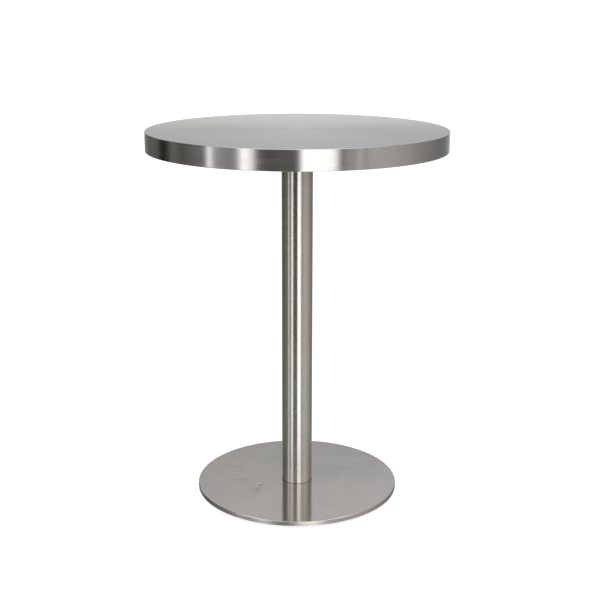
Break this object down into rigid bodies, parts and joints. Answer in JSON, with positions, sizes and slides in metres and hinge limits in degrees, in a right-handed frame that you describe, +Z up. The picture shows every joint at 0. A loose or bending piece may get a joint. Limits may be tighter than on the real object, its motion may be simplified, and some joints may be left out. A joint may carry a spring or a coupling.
{
  "type": "bistro table",
  "caption": "Round bistro table with a stainless steel clad top on one slim tubular column and a flat disc base with levelling feet.",
  "frame": {"origin": "on the floor, under the middle of the column", "axes": "+Z up along the column. The front is -Y. +X and +Y run square to the sides of the mounting plate under the top, and the four levelling feet lie on the diagonals between them."},
  "size_m": [0.5999, 0.6, 0.76],
  "materials": {
    "steel_top": "circular brushed stainless sheet",
    "steel_band": "brushed stainless, grain runs round the edge",
    "steel_column": "fine brushed stainless tube",
    "steel_base": "polished stainless sheet with faint straight grain",
    "particle_board": "raw pressed particle board",
    "backing_laminate": "matt dark balancing laminate",
    "black_coated_plate": "satin black powder coat",
    "black_screw": "black oxide",
    "zinc_washer": "bright zinc plate",
    "zinc_insert": "yellow zinc plate",
    "zinc_rod": "bright zinc plate",
    "zinc_nut": "bright zinc plate",
    "ballast_plate": "black primer on mild steel",
    "hub_steel": "turned mild steel, oiled",
    "foot_nylon": "moulded black nylon",
    "foot_stud_steel": "bright zinc plate"
  },
  "bodies": {
    "table": {"top_sheet": "steel_top", "edge_band": "steel_band", "core_board": "particle_board", "underside_laminate": "backing_laminate", "core_inserts": "zinc_insert", "mounting_plate": "black_coated_plate", "mounting_socket": "black_coated_plate", "top_screws": "black_screw", "top_screw_washers": "zinc_washer", "column_tube": "steel_column", "tie_rod": "zinc_rod", "tie_rod_washer": "zinc_washer", "tie_rod_lock_washer": "zinc_washer", "tie_rod_nut": "zinc_nut", "base_cover": "steel_base", "base_plate": "ballast_plate", "base_hub": "hub_steel", "base_hub_screws": "black_screw"},
    "foot_1_pad": {"foot_pad_1": "foot_nylon"},
    "foot_1_stud": {"foot_stud_1": "foot_stud_steel"},
    "foot_2_pad": {"foot_pad_2": "foot_nylon"},
    "foot_2_stud": {"foot_stud_2": "foot_stud_steel"},
    "foot_3_pad": {"foot_pad_3": "foot_nylon"},
    "foot_3_stud": {"foot_stud_3": "foot_stud_steel"},
    "foot_4_pad": {"foot_pad_4": "foot_nylon"},
    "foot_4_stud": {"foot_stud_4": "foot_stud_steel"}
  },
  "joints": [
    {"name": "foot_1_height", "type": "slide", "parent": "table", "child": "foot_1_pad", "axis": [0, 0, -1], "range_m": [-0.0006, 0.0032]},
    {"name": "foot_1_turn", "type": "hinge", "parent": "foot_1_pad", "child": "foot_1_stud", "pos_m": [0.12021, 0.12021, 0.006], "axis": [0, 0, -1], "range_deg": [-170, 920]},
    {"name": "foot_2_height", "type": "slide", "parent": "table", "child": "foot_2_pad", "axis": [0, 0, -1], "range_m": [-0.0006, 0.0032]},
    {"name": "foot_2_turn", "type": "hinge", "parent": "foot_2_pad", "child": "foot_2_stud", "pos_m": [-0.12021, 0.12021, 0.006], "axis": [0, 0, -1], "range_deg": [-170, 920]},
    {"name": "foot_3_height", "type": "slide", "parent": "table", "child": "foot_3_pad", "axis": [0, 0, -1], "range_m": [-0.0006, 0.0032]},
    {"name": "foot_3_turn", "type": "hinge", "parent": "foot_3_pad", "child": "foot_3_stud", "pos_m": [-0.12021, -0.12021, 0.006], "axis": [0, 0, -1], "range_deg": [-170, 920]},
    {"name": "foot_4_height", "type": "slide", "parent": "table", "child": "foot_4_pad", "axis": [0, 0, -1], "range_m": [-0.0006, 0.0032]},
    {"name": "foot_4_turn", "type": "hinge", "parent": "foot_4_pad", "child": "foot_4_stud", "pos_m": [0.12021, -0.12021, 0.006], "axis": [0, 0, -1], "range_deg": [-170, 920]}
  ],
  "couplings": [
    {"joint": "foot_1_height", "follows": "foot_1_turn", "m_per_rad": 0.00019894},
    {"joint": "foot_2_height", "follows": "foot_2_turn", "m_per_rad": 0.00019894},
    {"joint": "foot_3_height", "follows": "foot_3_turn", "m_per_rad": 0.00019894},
    {"joint": "foot_4_height", "follows": "foot_4_turn", "m_per_rad": 0.00019894}
  ]
}
